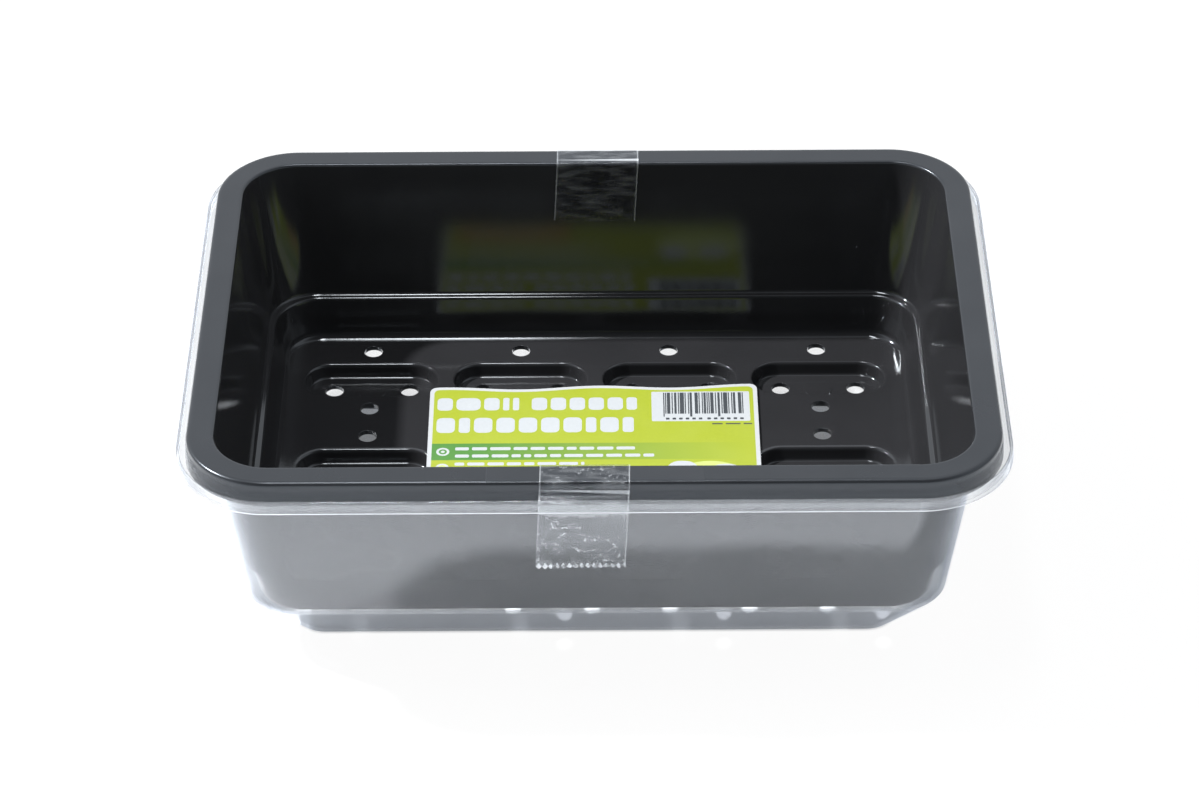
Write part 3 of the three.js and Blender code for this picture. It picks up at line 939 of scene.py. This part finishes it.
def tape_strip(name, side, path, centre_of, material, seed):
    """A thin closed strip that follows the path. side is -1 at the front and 1 at the back."""
    pick = random.Random(seed)
    columns = round(TAPE_WIDTH / (SERRATION / 2))
    drift = [pick.uniform(-0.25, 0.25) for _ in range(columns + 1)]
    mesh = bmesh.new()
    uv = mesh.loops.layers.uv.new("tape_mm")
    outer = tape_grid(mesh, side, path, centre_of, TAPE_THICKNESS / 2, drift)
    inner = tape_grid(mesh, side, path, centre_of, -TAPE_THICKNESS / 2, drift)

    def add_face(*corners):
        face = mesh.faces.new([vert for vert, _, _ in corners])
        face.smooth = True
        for loop, (_, across, along) in zip(face.loops, corners):
            loop[uv].uv = (across, along)

    last = len(path) - 1
    for row in range(last):
        for column in range(columns):
            for grid in (outer, inner):
                here, following = grid[row], grid[row + 1]
                add_face(here[column], here[column + 1], following[column + 1], following[column])
        for column in (0, columns):
            add_face(outer[row][column], outer[row + 1][column], inner[row + 1][column], inner[row][column])
    for row in (0, last):
        for column in range(columns):
            add_face(outer[row][column], outer[row][column + 1], inner[row][column + 1], inner[row][column])
    return finished(mesh, name, [material], 60.0)


def tape_path(inner_end_z):
    """From the inner wall over the flange, across to the cover's lip and down to the tail's end."""
    draft = (STEP_INSET - MOUTH_INSET) / (FLANGE_Z - STEP_Z)
    wall_reach = WIDTH / 2 - MOUTH_INSET - TAPE_WALL_GAP
    over = FLANGE_Z + TAPE_RIM_GAP
    points = [
        (wall_reach - draft * (FLANGE_Z - inner_end_z), inner_end_z, 0.0),
        (wall_reach, over, 1.0),
        (84.7, over, 1.2),
        (85.35, 71.6, 1.2),
        (TAPE_TAIL_REACH, 70.4, 0.8),
        (TAPE_TAIL_REACH, TAPE_TAIL_END_Z, 0.0),
    ]
    return smooth_path(points, TAPE_STEP)


def drifting(stations):
    """A function for the tape's middle line, from (distance along, x) stations."""

    def centre_of(length):
        for (start, x), (end, following) in zip(stations, stations[1:]):
            if length <= end:
                return x + (following - x) * max(0.0, length - start) / (end - start)
        return stations[-1][1]

    return centre_of


def front_tape():
    """The front strip, which drifts to the left on its way down."""
    path = tape_path(FRONT_TAPE_INNER_END)
    end = path_lengths(path)[-1]
    film = tape_film("tape_film_front", end, 30.6, 0.03, 0.25, (0.0, 4.5), 0.3)
    stations = [(0.0, -2.3), (end * 0.5, -2.7), (end, -4.0)]
    return tape_strip("front_tape_strip", -1, path, drifting(stations), film, 5)


def back_tape():
    """The back strip, which is stuck on a little straighter."""
    path = tape_path(BACK_TAPE_INNER_END)
    end = path_lengths(path)[-1]
    film = tape_film("tape_film_back", end, 21.2, 0.0, 0.2, (21.0, 25.0), 0.07)
    stations = [(0.0, 0.15), (end * 0.35, 1.2), (end, 1.2)]
    return tape_strip("back_tape_strip", 1, path, drifting(stations), film, 9)


# ---------------------------------------------------------------------------
# Studio
# ---------------------------------------------------------------------------


def studio_floor():
    """A wide pale sheet just under the cover's roof."""
    mesh = bmesh.new()
    bmesh.ops.create_grid(mesh, x_segments=8, y_segments=8, size=FLOOR_REACH)
    floor = finished(mesh, "studio_floor", [studio_floor_material()])
    floor.location = (0, 0, -FLOOR_DROP)


def area_light(name, place, size, power):
    """A rectangular light that faces the object."""
    light = bpy.data.lights.new(name, "AREA")
    light.shape = "RECTANGLE"
    light.size, light.size_y = size
    light.energy = power
    lamp = bpy.data.objects.new(name, light)
    lamp.location = place
    lamp.rotation_euler = (-Vector(place)).to_track_quat("-Z", "Y").to_euler()
    bpy.context.scene.collection.objects.link(lamp)


def studio_world():
    """Even pale light all round, dimmer from above and behind the camera."""
    world = bpy.data.worlds.new("studio")
    world.use_nodes = True
    nodes = world.node_tree.nodes
    links = world.node_tree.links
    direction = nodes.new("ShaderNodeTexCoord")
    towards = nodes.new("ShaderNodeVectorMath")
    towards.operation = "DOT_PRODUCT"
    towards.inputs[1].default_value = DIM_DIRECTION
    level = nodes.new("ShaderNodeMapRange")
    level.interpolation_type = "SMOOTHSTEP"
    limits = {"From Min": 0.6, "From Max": 0.93, "To Min": WORLD_STRENGTH, "To Max": DIM_STRENGTH}
    for name, number in limits.items():
        level.inputs[name].default_value = number
    background = nodes["Background"]
    background.inputs["Color"].default_value = (*WORLD_TINT, 1)
    links.new(direction.outputs["Generated"], towards.inputs[0])
    links.new(towards.outputs["Value"], level.inputs["Value"])
    links.new(level.outputs["Result"], background.inputs["Strength"])
    bpy.context.scene.world = world


def studio_camera():
    """A long lens in front of the object, looking about 36 degrees down."""
    yaw = math.radians(CAMERA_YAW)
    roll = math.radians(CAMERA_ROLL)
    forward = Vector(CAMERA_FORWARD).normalized()
    level = Vector((math.cos(yaw), -math.sin(yaw), 0))
    upright = level.cross(forward)
    right = level * math.cos(roll) + upright * math.sin(roll)
    up = -level * math.sin(roll) + upright * math.cos(roll)
    camera = bpy.data.cameras.new("camera")
    camera.sensor_width = 36
    camera.lens = CAMERA_LENS
    camera.clip_end = 20
    holder = bpy.data.objects.new("camera", camera)
    turn = Matrix((right, up, -forward)).transposed().to_4x4()
    holder.matrix_world = Matrix.Translation(CAMERA_PLACE) @ turn
    bpy.context.scene.collection.objects.link(holder)
    bpy.context.scene.camera = holder


# ---------------------------------------------------------------------------
# Assembly
# ---------------------------------------------------------------------------

tray = base_tray([black_plastic(), flange_plastic()])
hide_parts("base_tray")
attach(tray, "tray")

cover = clear_cover(clear_plastic())
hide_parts("clear_cover")
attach(cover, "cover")

label = label_card()
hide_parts("label_card")
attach(label, "label")

for end, side, strip in (("front", -1, front_tape()), ("back", 1, back_tape())):
    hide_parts("tape_" + end, "tape_" + end + "_tail")
    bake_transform(strip)

studio_floor()
studio_world()
area_light("key", KEY_PLACE, (KEY_SIZE, KEY_SIZE), KEY_POWER)
area_light("overhead", STRIP_PLACE, STRIP_SIZE, STRIP_POWER)
studio_camera()
bpy.context.scene.view_settings.view_transform = "Standard"
